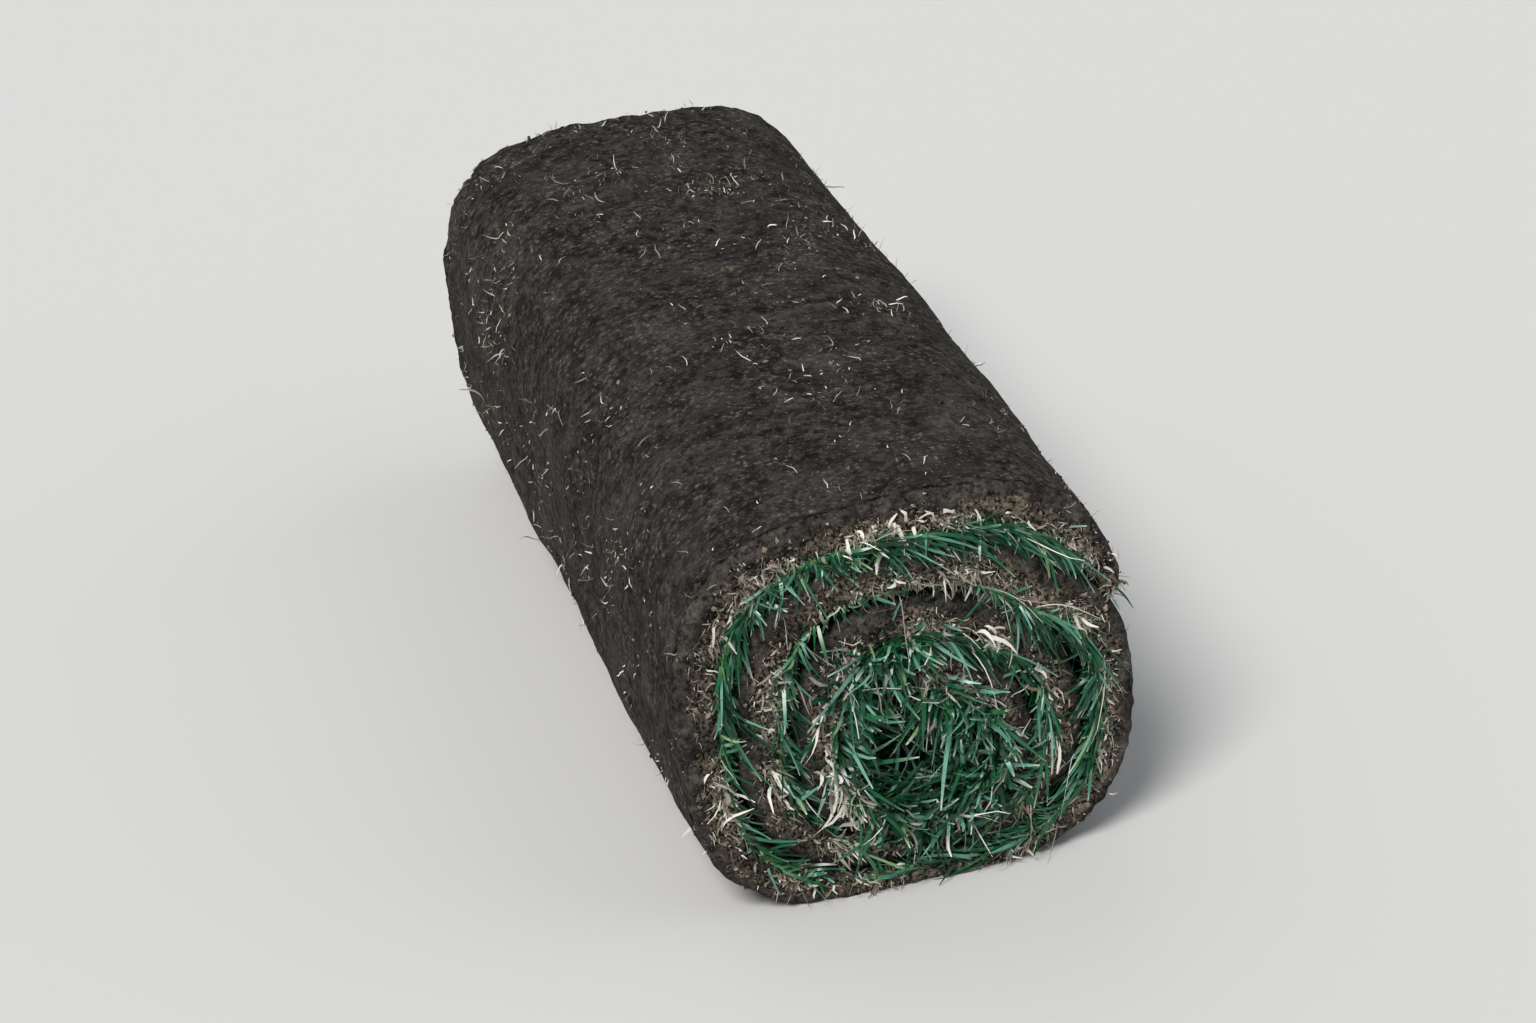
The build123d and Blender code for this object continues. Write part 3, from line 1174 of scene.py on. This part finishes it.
class TURF_OT_thatch(bpy.types.Operator):
    """Grow the dead stems along the cut edges, and the roots of the outside"""
    bl_idname = "turf.thatch"
    bl_label = "Thatch and roots"

    def execute(self, context):
        turns, stem_long = sizes().turns, sizes().stem_long
        core_start, core_end = turns - CORE_TURNS, turns - INNER_MARGIN
        fibre, root, stem = fibre_material(), root_material(), stem_material()
        for name, side in SIDES:
            surface = edge_surface(name + "_thatch", side, (0.62, 1.0), 1.4, 1.0, 0.8)
            grow_fibres(surface, "thatch", 20 + side, fibre)
            surface = edge_surface(name + "_flecks", side, (0.22, 0.76), 0.9)
            grow_fibres(surface, "flecks", 30 + side, fibre)
            surface = edge_surface(name + "_curls", side, (0.55, 1.0), 0.9, 0.08, 0.8)
            grow_fibres(surface, "curls", 50 + side, stem)
            surface = band_surface(name + "_stems", 0.05, turns - 0.02, side, -1 * MM, 6 * MM, 0.6)
            grow_fibres(surface, "stems", 60 + side, stem, stem_long)
            surface = band_surface(name + "_core_stems", core_start, core_end, side, -2 * MM, 30 * MM, 0.8)
            grow_fibres(surface, "core_stems", 66 + side, root, stem_long)
        grow_fibres(seam_surface("seam_thatch"), "seam_thatch", 71, fibre)
        grow_fibres(skin_surface("skin_roots", True), "skin_roots", 37, root)
        grow_fibres(skin_surface("skin_stems"), "skin_stems", 39, stem)
        return {"FINISHED"}


class TURF_OT_grass(bpy.types.Operator):
    """Grow the grass that shows between the turns and in the core"""
    bl_idname = "turf.grass"
    bl_label = "Grass"

    def execute(self, context):
        core_start, core_end = sizes().turns - CORE_TURNS, sizes().turns - INNER_MARGIN
        for name, side in SIDES:
            surface = band_surface(name + "_gap_grass", 0.07, core_start, side, -3 * MM, 12 * MM, 0.9)
            grow_grass(surface, "gap_grass", 4 + side, blade_material("turf_gap_blade", 0.04))
            surface = band_surface(name + "_core_grass", core_start, core_end, side, -2 * MM, 45 * MM, 0.8)
            grow_grass(surface, "core_grass", 8 + side, blade_material("turf_core_blade", 0.05))
        grow_grass(seam_surface("seam_grass"), "seam_grass", 73, blade_material())
        return {"FINISHED"}


# The stage

FLOOR_REACH = 9
FLOOR_COLOUR = (0.62, 0.61, 0.60, 1)

# The lights: their places, power, colours and the angle that each spreads over, in degrees
LIGHTS = (
    ("key_light", (-1.2, -1.5, 2.3), 3.00, (1.0, 0.99, 0.97), 24),
    ("fill_light", (2.2, -0.5, 1.4), 0.70, (0.93, 0.97, 1.0), 70),
    ("back_light", (-0.6, 2.4, 2.0), 0.65, (0.95, 0.98, 1.0), 70),
)
SKY_COLOUR = (0.86, 0.93, 1.0, 1)
SKY_STRENGTH = 0.22
BACKDROP_COLOUR = (0.80, 0.81, 0.82, 1)

# The camera, as seen from the middle of the front end. Its angles are in degrees
CAMERA_AZIMUTH = -14
CAMERA_ELEVATION = 28
CAMERA_ROLL = 6
CAMERA_DISTANCE = 2.1
CAMERA_TARGET = (-0.005, -0.045, 0.095)
CAMERA_LENS = 99.0
CAMERA_CLIP = (0.05, 50)


def new_floor():
    reach = FLOOR_REACH
    corners = [(-reach, -reach, 0), (reach, -reach, 0), (reach, reach, 0), (-reach, reach, 0)]
    floor = new_object("floor", corners, [(0, 1, 2, 3)])
    floor.data.materials.append(new_material("floor", 0.9, 0.2, lambda tree: {"Base Color": FLOOR_COLOUR}))
    return floor


def new_light(name, place, power, tint, spread):
    data = bpy.data.lights.new(name, "SUN")
    data.energy = power
    data.angle = math.radians(spread)
    data.color = tint
    lamp = bpy.data.objects.new(name, data)
    lamp.location = place
    lamp.rotation_mode = "QUATERNION"
    lamp.rotation_quaternion = (-Vector(place)).to_track_quat("-Z", "Y")
    bpy.context.scene.collection.objects.link(lamp)
    return lamp


def new_world():
    """A soft sky that lights the roll, with a plain backdrop where the camera sees it."""
    world = bpy.data.worlds.new("soft_world")
    world.use_nodes = True
    tree = Tree(world.node_tree)
    sky = world.node_tree.nodes["Background"]
    sky.inputs["Color"].default_value = SKY_COLOUR
    sky.inputs["Strength"].default_value = SKY_STRENGTH
    backdrop = tree.node("ShaderNodeBackground", {"Color": BACKDROP_COLOUR, "Strength": 1.0})
    seen = tree.node("ShaderNodeLightPath").outputs["Is Camera Ray"]
    choice = tree.node("ShaderNodeMixShader", {0: seen, 1: sky.outputs[0], 2: backdrop.outputs[0]})
    tree.feed(world.node_tree.nodes["World Output"].inputs[0], choice.outputs[0])
    return world


def new_camera():
    """The photo's view of the front end."""
    data = bpy.data.cameras.new("camera")
    data.lens = CAMERA_LENS
    data.clip_start, data.clip_end = CAMERA_CLIP
    camera = bpy.data.objects.new("camera", data)
    azimuth, elevation = math.radians(CAMERA_AZIMUTH), math.radians(CAMERA_ELEVATION)
    level = math.cos(elevation)
    way = Vector((math.sin(azimuth) * level, -math.cos(azimuth) * level, math.sin(elevation)))
    camera.location = Vector((0, -HALF_LENGTH, MIDDLE_HEIGHT)) + way * CAMERA_DISTANCE
    camera.rotation_mode = "QUATERNION"
    aim = (Vector(CAMERA_TARGET) - camera.location).to_track_quat("-Z", "Y")
    camera.rotation_quaternion = aim @ Quaternion((0, 0, 1), math.radians(-CAMERA_ROLL))
    bpy.context.scene.collection.objects.link(camera)
    return camera


class TURF_OT_stage(bpy.types.Operator):
    """Set up the floor, the lights and the camera"""
    bl_idname = "turf.stage"
    bl_label = "Stage"

    def execute(self, context):
        scene = context.scene
        floor = new_floor()
        lamps = [new_light(*light) for light in LIGHTS]
        scene.world = new_world()
        scene.camera = new_camera()
        scene.view_settings.view_transform = "Standard"
        return {"FINISHED"}


class TURF_PT_panel(bpy.types.Panel):
    """The roll's sizes, its colours and the steps that build it"""
    bl_label = "Roll of turf"
    bl_idname = "TURF_PT_panel"
    bl_space_type = "VIEW_3D"
    bl_region_type = "UI"
    bl_category = "Turf"

    def draw(self, context):
        for group in (context.scene.turf_sizes, context.scene.turf_colours):
            column = self.layout.column()
            for name in group.__annotations__:
                column.prop(group, name)
        for step in STEPS:
            self.layout.operator(step.bl_idname)


STEPS = (TURF_OT_mat, TURF_OT_crumbs, TURF_OT_thatch, TURF_OT_grass, TURF_OT_stage)
CLASSES = (TurfSizes, TurfColours, *STEPS, TURF_PT_panel)


def register():
    for made in CLASSES:
        bpy.utils.register_class(made)
    bpy.types.Scene.turf_sizes = bpy.props.PointerProperty(type=TurfSizes)
    bpy.types.Scene.turf_colours = bpy.props.PointerProperty(type=TurfColours)


def unregister():
    del bpy.types.Scene.turf_colours
    del bpy.types.Scene.turf_sizes
    for made in reversed(CLASSES):
        bpy.utils.unregister_class(made)


def main():
    register()
    bpy.ops.turf.mat()
    bpy.ops.turf.crumbs()
    bpy.ops.turf.thatch()
    bpy.ops.turf.grass()
    bpy.ops.turf.stage()


if __name__ == "__main__":
    main()
